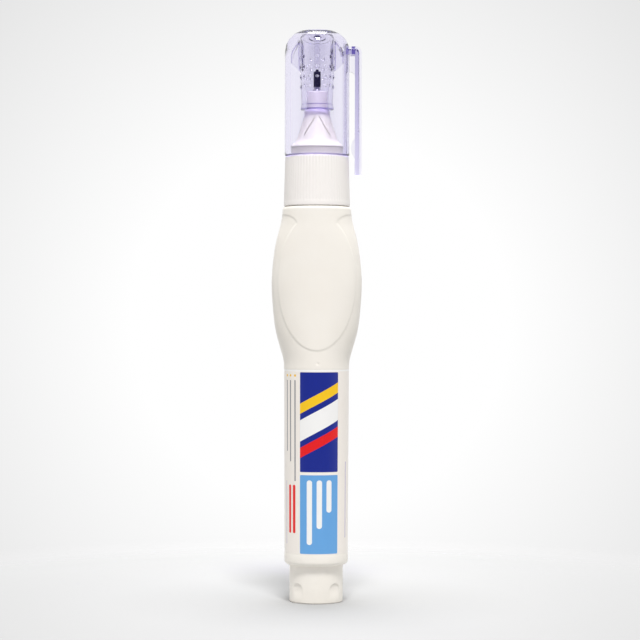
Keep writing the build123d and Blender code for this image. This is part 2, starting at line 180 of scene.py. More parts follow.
def mixShader(tree, share, first, second):
    return addNode(tree, "ShaderNodeMixShader", {0: share, 1: first.outputs[0], 2: second.outputs[0]})


def noise(tree, vector, scale, detail, rough=0.5):
    return addNode(tree, "ShaderNodeTexNoise", {
        "Vector": vector, "Scale": scale, "Detail": detail, "Roughness": rough}).outputs["Fac"]


def bumpNormal(tree, height, strength, depth):
    return addNode(tree, "ShaderNodeBump", {
        "Height": height, "Strength": strength, "Distance": depth * mm}).outputs["Normal"]


def objectPlace(tree):
    return addNode(tree, "ShaderNodeTexCoord").outputs["Object"]


def axesOf(tree, vector):
    return addNode(tree, "ShaderNodeSeparateXYZ", {0: vector}).outputs


def newMaterial(name):
    material = bpy.data.materials.new(name)
    material.use_nodes = True
    material.node_tree.nodes.clear()
    return material, material.node_tree


def newGroup(name, inputs, outputs):
    group = bpy.data.node_groups.new(name, "ShaderNodeTree")
    for label, kind, value in inputs:
        socket = group.interface.new_socket(label, in_out="INPUT", socket_type=kind)
        socket.default_value = value
    for label, kind in outputs:
        group.interface.new_socket(label, in_out="OUTPUT", socket_type=kind)
    return group, group.nodes.new("NodeGroupInput").outputs, group.nodes.new("NodeGroupOutput").inputs


def makeMouldedGroup():
    # cloudy colour, uneven gloss and a fine spark-eroded grain
    group, given, result = newGroup(
        "mouldedSurface",
        [("Light", "NodeSocketColor", (0.9, 0.9, 0.9, 1)), ("Dark", "NodeSocketColor", (0.8, 0.8, 0.8, 1)),
         ("Smooth", "NodeSocketFloat", 0.34), ("Rough", "NodeSocketFloat", 0.46)],
        [("Color", "NodeSocketColor"), ("Roughness", "NodeSocketFloat"), ("Height", "NodeSocketFloat")])
    place = objectPlace(group)
    cloud = mapRange(group, noise(group, place, 90, 3, 0.55), (0.35, 0.65))
    shine = noise(group, place, 700, 2, 0.6)
    made = {"Color": mixColor(group, cloud, given["Light"], given["Dark"]),
            "Roughness": mapRange(group, shine, (0.3, 0.7), (given["Smooth"], given["Rough"])),
            "Height": noise(group, place, 7000, 2)}
    for key, value in made.items():
        group.links.new(value, result[key])
    return group


mouldedGroup = makeMouldedGroup()


def makeMoulded(name, look):
    material, tree = newMaterial(name)
    surface = addNode(tree, "ShaderNodeGroup", {
        "Light": look["light"], "Dark": look["dark"], "Smooth": look["smooth"], "Rough": look["rough"]},
        node_tree=mouldedGroup).outputs
    shader = addNode(tree, "ShaderNodeBsdfPrincipled", {
        "Base Color": surface["Color"], "Roughness": surface["Roughness"], "IOR": look["ior"],
        "Normal": bumpNormal(tree, surface["Height"], look["grain"], 0.02)})
    addNode(tree, "ShaderNodeOutputMaterial", {"Surface": shader.outputs[0]})
    return material


ivoryPlastic = makeMoulded("ivoryPlastic", {
    "light": (0.93, 0.888, 0.815, 1), "dark": (0.915, 0.868, 0.79, 1), "smooth": 0.36, "rough": 0.46,
    "grain": 0.12, "ior": 1.5})
whitePlastic = makeMoulded("whitePlastic", {
    "light": (0.925, 0.885, 0.85, 1), "dark": (0.905, 0.865, 0.825, 1), "smooth": 0.34, "rough": 0.44,
    "grain": 0.1, "ior": 1.49})
# the nozzle's white plastic, made darker and warmer as painted shade for its place inside the tinted cap
shadedNozzlePlastic = makeMoulded("shadedNozzlePlastic", {
    "light": (0.74, 0.71, 0.635, 1), "dark": (0.72, 0.69, 0.615, 1), "smooth": 0.36, "rough": 0.46,
    "grain": 0.1, "ior": 1.49})
sealRubber = makeMoulded("sealRubber", {
    "light": (0.035, 0.035, 0.037, 1), "dark": (0.025, 0.025, 0.026, 1), "smooth": 0.6, "rough": 0.75,
    "grain": 0.3, "ior": 1.5})


def makeSteel(name, look):
    # drawn metal: fine streaks along the length, with a little tarnish
    material, tree = newMaterial(name)
    place = objectPlace(tree)
    stretch = addNode(tree, "ShaderNodeMapping", {"Vector": place, "Scale": (9000, 9000, 350)})
    streak = noise(tree, stretch.outputs[0], 1, 2)
    tone = mixColor(tree, noise(tree, place, 900, 3), look["light"], look["dark"])
    # lighter metal below a set height, at the tip's foot
    footTone = calc(tree, "LESS_THAN", axesOf(tree, place)["Z"], look["footBelow"] * mm)
    shader = addNode(tree, "ShaderNodeBsdfPrincipled", {
        "Base Color": mixColor(tree, footTone, tone, look["footTone"]), "Metallic": 1.0,
        "Roughness": mapRange(tree, streak, (0.0, 1.0), (look["smooth"], look["rough"])),
        "Normal": bumpNormal(tree, streak, 0.1, 0.005)})
    addNode(tree, "ShaderNodeOutputMaterial", {"Surface": shader.outputs[0]})
    return material


darkSteel = makeSteel("darkSteel", {
    "light": (0.012, 0.011, 0.014, 1), "dark": (0.006, 0.006, 0.008, 1), "smooth": 0.16, "rough": 0.28,
    "footTone": (0.62, 0.61, 0.64, 1), "footBelow": 122.15})
brightSteel = makeSteel("brightSteel", {
    "light": (0.62, 0.62, 0.63, 1), "dark": (0.5, 0.5, 0.51, 1), "smooth": 0.16, "rough": 0.3,
    "footTone": (0.62, 0.62, 0.63, 1), "footBelow": 0})


def makeClearViolet(name, look):
    # clear tinted plastic: the tint deepens with the depth that the light crosses; towards the rims and in set
    # bands the colour is darkened by painted shade
    material, tree = newMaterial(name)
    place = objectPlace(tree)
    parts = axesOf(tree, place)
    # painted shade towards the rims, by how steeply the surface is seen
    slope = addNode(tree, "ShaderNodeLayerWeight", {"Blend": 0.5}).outputs["Facing"]
    rimShade = mapRange(tree, slope, (look["rimStart"], look["rimEnd"]))
    tone = mixColor(tree, rimShade, look["tint"], look["rimShade"])
    for axis, low, high, above in look["deep"]:
        # painted shade: a band where the moulding bends the light away, darkened in the colour
        band = calc(tree, "COMPARE", parts[axis], (low + high) / 2 * mm, (high - low) / 2 * mm)
        over = calc(tree, "GREATER_THAN", parts["Z"], above * mm)
        tone = mixColor(tree, calc(tree, "MULTIPLY", band, over), tone, look["paintedShade"])
    # faces marked in the mesh take the same painted shade
    paintedShadeShare = addNode(tree, "ShaderNodeAttribute", attribute_name="paintedShade").outputs["Fac"]
    frost = addNode(tree, "ShaderNodeAttribute", attribute_name="frost").outputs["Fac"]
    tone = mixColor(tree, paintedShadeShare, tone, look["paintedShade"])
    pale = mixColor(tree, frost, tone, plainWhite)
    flow = noise(tree, place, 260, 2, 0.4)
    shader = addNode(tree, "ShaderNodeBsdfPrincipled", {
        "Base Color": pale, "Roughness": calc(tree, "MULTIPLY_ADD", frost, 0.4, 0.012), "IOR": 1.49,
        "Transmission Weight": 1.0, "Metallic": 0.0, "Normal": bumpNormal(tree, flow, 0.02, 0.02)})
    # shadow rays take this colour, so the painted shade also darkens what lies beyond
    through = addNode(tree, "ShaderNodeBsdfTransparent", {"Color": pale})
    inShadow = addNode(tree, "ShaderNodeLightPath").outputs["Is Shadow Ray"]
    mixed = mixShader(tree, inShadow, shader, through)
    depth = addNode(tree, "ShaderNodeVolumeAbsorption", {
        "Color": (0.3, 0.2, 0.74, 1), "Density": look["density"]})
    addNode(tree, "ShaderNodeOutputMaterial", {"Surface": mixed.outputs[0], "Volume": depth.outputs[0]})
    return material


# bands of painted shade: axis, low, high, and the height that they start above
clearViolet = makeClearViolet("clearViolet", {
    "density": 85.0, "tint": plainWhite, "rimShade": (0.86, 0.84, 0.96, 1), "rimStart": 0.75, "rimEnd": 0.98,
    "paintedShade": (0.4, 0.36, 0.66, 1), "deep": (("Z", 105.9, 106.35, 0),)})
sleeveViolet = makeClearViolet("sleeveViolet", {
    "density": 48.0, "tint": (0.97, 0.965, 0.99, 1), "rimShade": (0.32, 0.26, 0.7, 1), "rimStart": 0.72,
    "rimEnd": 0.98, "paintedShade": (0.3, 0.26, 0.56, 1),
    "deep": (("Z", 117.0, 117.35, 0), ("Z", 118.2, 118.35, 0))})
clipViolet = makeClearViolet("clipViolet", {
    "density": 120.0, "tint": plainWhite, "rimShade": (0.62, 0.58, 0.86, 1), "rimStart": 0.7, "rimEnd": 0.98,
    "paintedShade": (0.2, 0.165, 0.48, 1),
    "deep": (("X", 6.0, 7.45, 130.2), ("X", 8.2, 9.05, 130.2))})


labelPrint = {
    "radius": 7.4, "inkEdge": 0.03,
    "film": (0.92, 0.865, 0.8, 1), "edge": (0.99, 0.98, 0.96, 1), "navy": (0.008, 0.022, 0.262, 1),
    "sky": (0.138, 0.386, 0.745, 1), "white": (0.92, 0.91, 0.89, 1), "red": (0.807, 0.01, 0.009, 1),
    "yellow": (0.95, 0.58, 0.01, 1), "grey": (0.16, 0.16, 0.2, 1), "violet": (0.42, 0.36, 0.62, 1),
    "panelMiddle": 0.72, "panelHalf": 4.62, "panelLow": 11.95, "panelHigh": 54.7, "panelSplit": 30.9,
    "gapOver": 0.3, "gapUnder": 0.4, "panelCorner": 0.25,
    "lean": 0.55, "slants": ((48.2, 1.2, "yellow"), (43.0, 2.5, "white"), (37.8, 1.2, "red")),
    "bars": 3, "barApart": 2.3, "barDrop": 1.6, "barLong": 7.6, "barLess": 1.9, "barHalf": 0.62,
    "barCorner": 0.6,
    "rules": ((-5.3, 29.0), (-6.8, 33.6), (-8.2, 36.0)), "ruleTop": 52.8, "ruleHalf": 0.16,
    "ruleCorner": 0.1, "dotHigh": 53.9, "dot": 0.3,
    # middle across and up, half width and height, corner, ink
    "topHighlight": (0, 55.1, 30, 0.2, 0.02, "edge"),
    "blocks": ((-5.6, 22.4, 0.4, 5.7, 0.3, "red"), (-7.0, 22.4, 0.4, 5.7, 0.3, "red"),
               (-8.6, 21.5, 0.1, 7.5, 0.1, "violet"), (8.3, 24.5, 0.14, 9.0, 0.1, "violet"),
               (-15.6, 44.0, 3.0, 8.0, 0.25, "navy"), (-15.6, 24.0, 3.0, 11.0, 0.25, "sky")),
    "backRules": 5, "backAcross": 12.6, "backApart": 1.6, "backUp": 34.0, "backHalf": 17.0, "backLess": 1.2,
}


def makeBlockGroup():
    # mask of a rectangle with rounded corners on the unrolled label
    names = ("Across", "Up", "Middle Across", "Middle Up", "Half Width", "Half Height", "Corner")
    group, given, result = newGroup("labelBlock", [(name, "NodeSocketFloat", 0.0) for name in names],
                                    [("Mask", "NodeSocketFloat")])
    squares = []
    for along, middle, half in (("Across", "Middle Across", "Half Width"), ("Up", "Middle Up", "Half Height")):
        away = calc(group, "ABSOLUTE", calc(group, "SUBTRACT", given[along], given[middle]))
        beyond = calc(group, "ADD", calc(group, "SUBTRACT", away, given[half]), given["Corner"])
        reach = calc(group, "MAXIMUM", beyond, 0.0)
        squares.append(calc(group, "MULTIPLY", reach, reach))
    length = calc(group, "SQRT", calc(group, "ADD", *squares))
    outside = calc(group, "SUBTRACT", length, given["Corner"])
    soft = labelPrint["inkEdge"]
    group.links.new(mapRange(group, outside, (-soft, soft), (1.0, 0.0)), result["Mask"])
    return group


blockGroup = makeBlockGroup()


def makeLabelFilm():
    look = labelPrint
    material, tree = newMaterial("labelFilm")
    place = objectPlace(tree)
    parts = axesOf(tree, place)
    angle = calc(tree, "ARCTAN2", parts["X"], calc(tree, "MULTIPLY", parts["Y"], -1.0))
    across = calc(tree, "MULTIPLY", angle, look["radius"])
    up = calc(tree, "MULTIPLY", parts["Z"], 1 / mm)
    color = look["film"]

    def block(middleAcross, middleUp, halfWidth, halfHeight, corner):
        return addNode(tree, "ShaderNodeGroup", {
            "Across": across, "Up": up, "Middle Across": middleAcross, "Middle Up": middleUp,
            "Half Width": halfWidth, "Half Height": halfHeight, "Corner": corner},
            node_tree=blockGroup).outputs["Mask"]

    def slant(offset, half):
        # a band across the label that climbs as it goes round
        level = calc(tree, "SUBTRACT", up, calc(tree, "MULTIPLY", across, look["lean"]))
        away = calc(tree, "ABSOLUTE", calc(tree, "SUBTRACT", level, offset))
        return mapRange(tree, away, (half - look["inkEdge"], half + look["inkEdge"]), (1.0, 0.0))

    def paint(mask, ink):
        nonlocal color
        color = mixColor(tree, mask, color, look[ink])

    def panel(low, high):
        return block(middle, (low + high) / 2, look["panelHalf"], (high - low) / 2, look["panelCorner"])

    middle, split = look["panelMiddle"], look["panelSplit"]
    # painted highlight: a lighter band along the label's top edge
    *shape, ink = look["topHighlight"]
    paint(block(*shape), ink)
    navy = panel(split + look["gapOver"], look["panelHigh"])
    paint(navy, "navy")
    paint(panel(look["panelLow"], split - look["gapUnder"]), "sky")
    # slanted bars on the dark block
    for offset, half, ink in look["slants"]:
        paint(calc(tree, "MULTIPLY", navy, slant(offset, half)), ink)
    # stepped bars on the light block
    for step in range(look["bars"]):
        half = look["barLong"] - look["barLess"] * step
        paint(block(middle + look["barApart"] * (step - 1), split - look["barDrop"] - half, look["barHalf"],
                    half, look["barCorner"]), "white")
    # plain rules beside the blocks, each with a dot over it, and small blocks
    for ruleAcross, low in look["rules"]:
        paint(block(ruleAcross, (low + look["ruleTop"]) / 2, look["ruleHalf"], (look["ruleTop"] - low) / 2,
                    look["ruleCorner"]), "grey")
        paint(block(ruleAcross, look["dotHigh"], look["dot"], look["dot"], look["dot"]), "yellow")
    for *shape, ink in look["blocks"]:
        paint(block(*shape), ink)
    # plain rules round the back
    for step in range(look["backRules"]):
        less = look["backLess"] * step
        paint(block(look["backAcross"] + look["backApart"] * step, look["backUp"] + less, look["ruleHalf"],
                    look["backHalf"] - less, look["ruleCorner"]), "grey")

    wave = noise(tree, place, 220, 2)
    shader = addNode(tree, "ShaderNodeBsdfPrincipled", {
        "Base Color": color, "Roughness": mapRange(tree, wave, (0.0, 1.0), (0.26, 0.36)), "IOR": 1.48,
        "Normal": bumpNormal(tree, wave, 0.08, 0.05)})
    addNode(tree, "ShaderNodeOutputMaterial", {"Surface": shader.outputs[0]})
    return material


labelFilm = makeLabelFilm()
print("materials ready")


# bottle: barrel, grip with raised panels, shoulder and threaded neck

bottle = {
    "low": 8.9, "radius": 7.54, "flare": 0.2, "wall": 1.65, "foot": 0.95, "steps": 256,
    "recessLow": 11.75, "recessHigh": 55.3, "recess": 0.15,
    "gripLow": 56.0, "gripHigh": 94.0, "gripHalfWidth": 10.75, "gripRings": 190, "boreRings": 40, "skin": 0.6,
    "shoulder": 7.97, "shoulderWall": 1.5, "shoulderRound": 0.75,
    "neck": 6.05, "neckHigh": 103.3, "neckBore": 5.05, "neckRound": 0.4, "neckClear": 0.45,
    "panelMiddle": 76.0, "panelHalfWidth": 9.2, "panelBelow": 16.25, "panelAbove": 16.0, "panelEdge": 0.16,
    "panelStep": 0.13, "panelTopStep": 0.14, "topStepOver": (78, 86), "yokeStep": 0.11,
    "yokeStepOver": (87.5, 90.5),
    "yokeIn": 4.7, "yokeLow": 89.6, "yokeOut": 8.3, "yokeHigh": 91.9, "yokeLean": 0.64, "yokeArchLeast": 0.35,
    "yokeEnd": 0.4, "yokeEndOver": (7.3, 8.5), "yokeEndHigh": (86, 90),
    "gateSide": 0.25, "gateHigh": 56.7, "gateRadius": 0.45, "gateDepth": 0.14,
    "swell": ((0.0, 0.0), (0.05, 0.075), (0.113, 0.297), (0.21, 0.632), (0.316, 0.835), (0.513, 1.0),
              (0.679, 0.845), (0.789, 0.6), (0.903, 0.205), (1.0, 0.0)),
    "thread": {"radius": 6.05, "low": 97.0, "pitch": 2.0, "turns": 1.5, "rise": 0.5},
}


def swellAt(share):
    # smooth curve through the swelling's stations
    stations = bottle["swell"]
    share = min(1, max(0, share))
    index = max(i for i in range(len(stations) - 1) if stations[i][0] <= share)
    before = stations[max(index - 1, 0)]
    start, end = stations[index], stations[index + 1]
    after = stations[min(index + 2, len(stations) - 1)]
    width = end[0] - start[0]
    slopeIn = (end[1] - before[1]) / (end[0] - before[0]) if index else 0
    slopeOut = (after[1] - start[1]) / (after[0] - start[0])
    t = (share - start[0]) / width
    return ((2 * t**3 - 3 * t**2 + 1) * start[1] + (t**3 - 2 * t**2 + t) * width * slopeIn
            + (3 * t**2 - 2 * t**3) * end[1] + (t**3 - t**2) * width * slopeOut)


def panelRise(x, z):
    # height of the raised front over the flanks, seen from the front
    size = bottle
    tiny = 0.001
    x = abs(x)
    away = z - size["panelMiddle"]
    tall = size["panelAbove"] if away > 0 else size["panelBelow"]
    wide = size["panelHalfWidth"]
    reach = math.hypot(x / wide, away / tall)
    slope = math.hypot(x / wide**2, away / tall**2) / max(reach, tiny)
    inOval = (1 - reach) / max(slope, tiny)
    inward = min(1, max(0, (size["yokeOut"] - x) / (size["yokeOut"] - size["yokeIn"])))
    arch = math.sqrt(1 - inward**2)
    yokeLine = size["yokeLow"] + (size["yokeHigh"] - size["yokeLow"]) * arch
    lean = size["yokeLean"] * inward / max(arch, size["yokeArchLeast"])
    aboveYoke = (z - yokeLine) / math.sqrt(1 + lean**2)
    edge = size["panelEdge"]
    mask = max(smoothStep(-edge, edge, inOval), smoothStep(-edge, edge, aboveYoke))
    step = size["panelStep"]
    step += (size["panelTopStep"] - step) * smoothStep(*size["topStepOver"], z)
    step += (size["yokeStep"] - step) * smoothStep(*size["yokeStepOver"], z)
    fade = smoothStep(*size["yokeEndOver"], x) * smoothStep(*size["yokeEndHigh"], z)
    return step * mask * (1 - (1 - size["yokeEnd"]) * fade)


def barrelRadius(z):
    return bottle["radius"] + bottle["flare"] * (z - bottle["low"]) / (bottle["gripLow"] - bottle["low"])


def makeBottle():
    size = bottle
    length = size["gripHigh"] - size["gripLow"]
    high = size["radius"] + size["flare"]
    recessFoot, recessHead = barrelRadius(size["recessLow"]), barrelRadius(size["recessHigh"])
    shoulderIn = size["gripHigh"] - size["shoulderWall"]
    bm = wireProfile(size, [
        (size["radius"] - size["wall"], "low", 0), ("radius", "low", "foot"),
        (recessFoot, "recessLow", 0.05), (recessFoot - size["recess"], "recessLow", 0),
        (recessHead - size["recess"], "recessHigh", 0), (recessHead, "recessHigh", 0.02),
        (high, "gripLow", 0), ("shoulder", "gripHigh", "shoulderRound"), ("neck", "gripHigh", "neckRound"),
        ("neck", "neckHigh", 0.2), ("neckBore", "neckHigh", 0.1), ("neckBore", shoulderIn, 0),
        (size["shoulder"] - size["wall"], shoulderIn, 0), (high - size["wall"], "gripLow", 0)])
    gripEdges = [edge for edge in bm.edges if edge.calc_length() > length / 2 * mm
                 and min(vert.co.z for vert in edge.verts) > (size["gripLow"] - hair) * mm]
    outer = max(gripEdges, key=lambda edge: edge.verts[0].co.x)
    for edge in gripEdges:
        bmesh.ops.subdivide_edges(bm, edges=[edge], cuts=size["gripRings" if edge == outer else "boreRings"])
    lathe(bm, size["steps"])
    for vert in bm.verts:
        x, y, z = vert.co / mm
        radius = math.hypot(x, y)
        onGrip = size["gripLow"] < z < size["gripHigh"] + hair
        if not onGrip or radius < size["neck"] + size["neckClear"]:
            continue
        share = (z - size["gripLow"]) / length
        base = high + (size["shoulder"] - high) * share
        halfWidth = base + (size["gripHalfWidth"] - base) * swellAt(share)
        inset = size["wall"] if radius < base - size["skin"] else 0
        x *= (halfWidth - inset) / (base - inset)
        if not inset:
            outward = Vector((x / halfWidth**2, y / base**2, 0)).normalized()
            rise = panelRise(x, z)
            if y < 0:
                # the small mark where the moulding's gate was
                away = math.hypot(x - size["gateSide"], z - size["gateHigh"])
                rise -= size["gateDepth"] * smoothStep(size["gateRadius"], 0, away)
            x += outward.x * rise
            y += outward.y * rise
        vert.co = Vector((x, y, z)) * mm
    addCoil(bm, size["thread"])
    faceOut(bm)
    addPiece("bottleShell", bm, "bottle_body", ivoryPlastic, "bottle")


makeBottle()


# tail plug: the post that the pen stands on

tailPlug = {
    "radius": 6.35, "high": 8.9, "edge": 0.35, "spigot": 5.87, "spigotHigh": 12.9, "bore": 4.9, "floor": 1.2,
    "ring": 0.16, "steps": 288,
    "notches": 4, "notchHalf": 1.6, "notchHigh": 4.6, "notchDepth": 0.26, "notchEdge": 0.14,
    "notchFade": (0.8, 3.4), "clearTop": 0.2,
}


def makeTailPlug():
    size = tailPlug
    bm = wireProfile(size, [
        (0, 0, 0), ("radius", 0, "edge"), ("radius", "high", 0), ("spigot", "high", 0),
        ("spigot", "spigotHigh", 0.2), ("bore", "spigotHigh", 0.2), ("bore", "floor", 0.5), (0, "floor", 0)],
        closed=False)
    splitLong(bm, size["ring"])
    lathe(bm, size["steps"])
    quarter = 2 * math.pi / size["notches"]
    for vert in bm.verts:
        x, y, z = vert.co / mm
        if math.hypot(x, y) < size["radius"] - size["edge"] - hair or z > size["high"] - size["clearTop"]:
            continue
        turn = (math.atan2(y, x) % quarter) - quarter / 2
        over = max(0, z - (size["notchHigh"] - size["notchHalf"]))
        inside = size["notchHalf"] - math.hypot(abs(turn) * size["radius"], over)
        flat = max(0, size["radius"] - (size["radius"] - size["notchDepth"]) / math.cos(turn))
        edge = smoothStep(-size["notchEdge"], size["notchEdge"], inside)
        pushOut(vert, -flat * edge * smoothStep(*size["notchFade"], z))
    addPiece("tailPost", bm, "bottle_body", ivoryPlastic, "tail_plug")


makeTailPlug()


# label film in its recess, open along a narrow seam at the back

label = {"sink": 0.14, "low": 11.77, "high": 55.29, "thickness": 0.13, "seamDegrees": 4.0, "steps": 240}


def makeLabel():
    size = label
    bm = bmesh.new()
    start = math.radians(90 + size["seamDegrees"] / 2)
    ends = []
    for height in (size["low"], size["high"]):
        radius = barrelRadius(height) - size["sink"]
        ends.append(bm.verts.new((radius * math.cos(start) * mm, radius * math.sin(start) * mm, height * mm)))
    seam = bm.edges.new(ends)
    bmesh.ops.spin(bm, geom=[*ends, seam], cent=(0, 0, 0), axis=(0, 0, 1),
                   angle=math.radians(360 - size["seamDegrees"]), steps=size["steps"])
    faceOut(bm)
    if sum(face.normal.dot(face.calc_center_median()) for face in bm.faces) < 0:
        bmesh.ops.reverse_faces(bm, faces=bm.faces)
    bmesh.ops.solidify(bm, geom=bm.faces[:], thickness=-size["thickness"] * mm)
    faceOut(bm)
    addPiece("labelFilm", bm, "bottle_body", labelFilm, "label")


makeLabel()


# ribbed screw collar

collar = {
    "low": 94.06, "high": 105.9, "lowRadius": 7.9, "highRadius": 7.56, "bore": 6.85, "lipBore": 6.45,
    "lipLow": 105.0, "rings": 60,
    "band": 0.9, "ribs": 64, "ribSteps": 8, "ribDepth": 0.06, "ribPower": 0.8, "ribFade": 0.5,
    "thread": {"radius": 6.85, "low": 96.0, "pitch": 2.0, "turns": 1.5, "rise": 0.5},
}


def makeCollar():
    size = collar
    bm = wireProfile(size, [
        ("lowRadius", "low", 0.22), ("highRadius", "high", 0.2), ("lipBore", "high", 0.12),
        ("lipBore", "lipLow", 0), ("bore", "lipLow", 0), ("bore", "low", 0.12)])
    midWall = (size["bore"] + size["highRadius"]) / 2
    outer = [edge for edge in bm.edges if min(vert.co.x for vert in edge.verts) > midWall * mm]
    bmesh.ops.subdivide_edges(bm, edges=[max(outer, key=lambda edge: edge.calc_length())], cuts=size["rings"])
    lathe(bm, size["ribs"] * size["ribSteps"])
    ribLow = size["low"] + size["band"]
    for vert in bm.verts:
        x, y, z = vert.co / mm
        if math.hypot(x, y) > midWall:
            valley = 0.5 - 0.5 * math.cos(size["ribs"] * math.atan2(y, x))
            fade = smoothStep(ribLow, ribLow + size["ribFade"], z)
            pushOut(vert, -size["ribDepth"] * valley**size["ribPower"] * fade)
    addCoil(bm, size["thread"])
    faceOut(bm)
    addPiece("screwCollar", bm, "collar_body", whitePlastic, "collar")


makeCollar()


# nozzle: skirt, flange, spigot, cone and tip holder, with thin ridges on the cone

nozzle = {
    "skirtLow": 99.4, "skirt": 4.97, "flangeLow": 103.9, "flange": 6.75, "flangeHigh": 104.9,
    "spigotWaist": 6.2, "waistHigh": 107.85, "waistStep": 0.15, "spigotTop": 6.31, "spigotHigh": 108.3,
    "footHigh": 109.5, "cone": 5.0, "coneHigh": 115.7, "throat": 3.05, "throatHigh": 116.8,
    "holder": 2.47, "holderHigh": 121.3, "tipBore": 0.87,
    "chamber": 1.9, "chamberHigh": 117.0, "chamberLow": 108.0, "seat": 3.6, "steps": 192,
    "ridgeHigh": (0.5, 115.3), "ridgeLow": (2.95, 111.0), "ridgeHalf": 0.1125, "ridgeTop": 0.6,
    "ridgeRise": 0.26, "ridgeSink": 0.12,
}


def coneRadius(z):
    share = (z - nozzle["footHigh"]) / (nozzle["coneHigh"] - nozzle["footHigh"])
    return nozzle["cone"] + (nozzle["throat"] - nozzle["cone"]) * share


def addRidge(bm, side, facing):
    # a bent strip over the cone, its long edges sunk under the surface
    size = nozzle
    made = bmesh.ops.create_grid(bm, x_segments=4, y_segments=20, size=1)
    (highX, highZ), (lowX, lowZ) = size["ridgeHigh"], size["ridgeLow"]
    for vert in made["verts"]:
        across, share = vert.co.x, (vert.co.y + 1) / 2
        x = lowX + (highX - lowX) * share + across * size["ridgeHalf"]
        z = lowZ + (highZ - lowZ) * share
        radius = coneRadius(z) + (size["ridgeRise"] if abs(across) < size["ridgeTop"] else -size["ridgeSink"])
        vert.co = Vector((side * x, facing * math.sqrt(radius**2 - x**2), z)) * mm


def makeNozzle():
    size = nozzle
    bm = wireProfile(size, [
        ("seat", "skirtLow", 0.15), ("skirt", "skirtLow", 0.3), ("skirt", "flangeLow", 0),
        ("flange", "flangeLow", 0.1), ("flange", "flangeHigh", 0.1), ("spigotWaist", "flangeHigh", 0),
        ("spigotWaist", "waistHigh", 0.1), ("spigotTop", size["waistHigh"] + size["waistStep"], 0.1),
        ("spigotTop", "spigotHigh", 0.2), ("cone", "footHigh", 0.5), ("throat", "coneHigh", 0.4),
        ("throat", "throatHigh", 0.15), ("holder", "throatHigh", 0.1), ("holder", "holderHigh", 0.2),
        ("tipBore", "holderHigh", 0.05), ("tipBore", "chamberHigh", 0), ("chamber", "chamberHigh", 0),
        ("chamber", "chamberLow", 0), ("seat", "chamberLow", 0)])
    lathe(bm, size["steps"])
    for side in (-1, 1):
        for facing in (-1, 1):
            addRidge(bm, side, facing)
    faceOut(bm)
    addPiece("nozzleCone", bm, "nozzle_body", shadedNozzlePlastic, "nozzle")


makeNozzle()


# metal tip and the needle in it

metalTip = {"bore": 0.43, "radius": 0.85, "low": 117.0, "seat": 121.3, "shoulder": 1.2, "bandHigh": 121.45,
            "shoulderHigh": 121.7, "high": 126.2, "round": 0.3, "steps": 96}
needle = {"low": 104.0, "tail": 0.6, "headLow": 115.7, "head": 1.5, "headHigh": 116.9, "radius": 0.35,
          "high": 126.7, "steps": 64}


def makeTip():
    size = metalTip
    bm = wireProfile(size, [
        ("bore", "low", 0), ("radius", "low", 0.1), ("radius", "seat", 0), ("shoulder", "seat", 0.08),
        ("shoulder", "bandHigh", 0.06), ("radius", "shoulderHigh", 0.1), ("radius", "high", "round"),
        ("bore", "high", 0.08)])
    lathe(bm, size["steps"])
    addPiece("steelTip", bm, "nozzle_body", darkSteel, "metal_tip")


def makeNeedle():
    size = needle
    bm = wireProfile(size, [
        (0, "low", 0), ("tail", "low", 0.15), ("tail", "headLow", 0), ("head", "headLow", 0.1),
        ("head", "headHigh", 0.1), ("radius", "headHigh", 0), ("radius", "high", 0.25), (0, "high", 0)],
        closed=False)
    lathe(bm, size["steps"])
    addPiece("needleValve", bm, "needle_body", darkSteel, "valve_needle")


makeTip()
makeNeedle()


# spring under the needle's head; the real spring shortens as the needle is pressed, here it keeps one length

spring = {"seat": 108.0, "head": 115.7, "press": 0.45,
          "coil": {"radius": 1.25, "low": 108.23, "pitch": 1.0, "turns": 7.24, "rise": 0.18}}


def makeSpring():
    size = spring
    bm = bmesh.new()
    addCoil(bm, size["coil"])
    piece = addPiece("valveSpring", bm, "nozzle_body", brightSteel, "valve_spring")
    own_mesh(piece)


makeSpring()


# clear cap with its dome, stem and the window for the clip

cap = {
    "low": 106.0, "high": 136.0, "radius": 7.7, "bore": 6.45, "dome": 5.0, "lip": 0.3, "ceiling": 134.7,
    "seat": 134.3, "seatRadius": 4.27, "wellBore": 2.15, "well": 134.45, "wellTop": 1.95, "stem": 0.68,
    "stemLow": 127.05, "ring": 1.0, "steps": 160,
    "vault": (0.72, 129.8, 5.73), "vaultDegrees": 51, "vaultStep": 3,
    "windowHalf": 2.15, "windowLow": 130.0, "windowHigh": 132.35, "windowIn": 3.0, "windowMargin": 1.2,
}


def vaultPoints(first, last, inset):
    # the cap's inner shoulder is an arc from the bore up to the sleeve's seat
    x, z, radius = cap["vault"]
    turns = [math.radians(degrees) for degrees in range(first, last, cap["vaultStep"])]
    return [(x + (radius - inset) * math.cos(turn), z + (radius - inset) * math.sin(turn), 0) for turn in turns]


def inWindow(face, margin):
    x, y, z = face.calc_center_median() / mm
    return (x > cap["windowIn"] and abs(y) < cap["windowHalf"] + margin and
            cap["windowLow"] - margin < z < cap["windowHigh"] + margin)


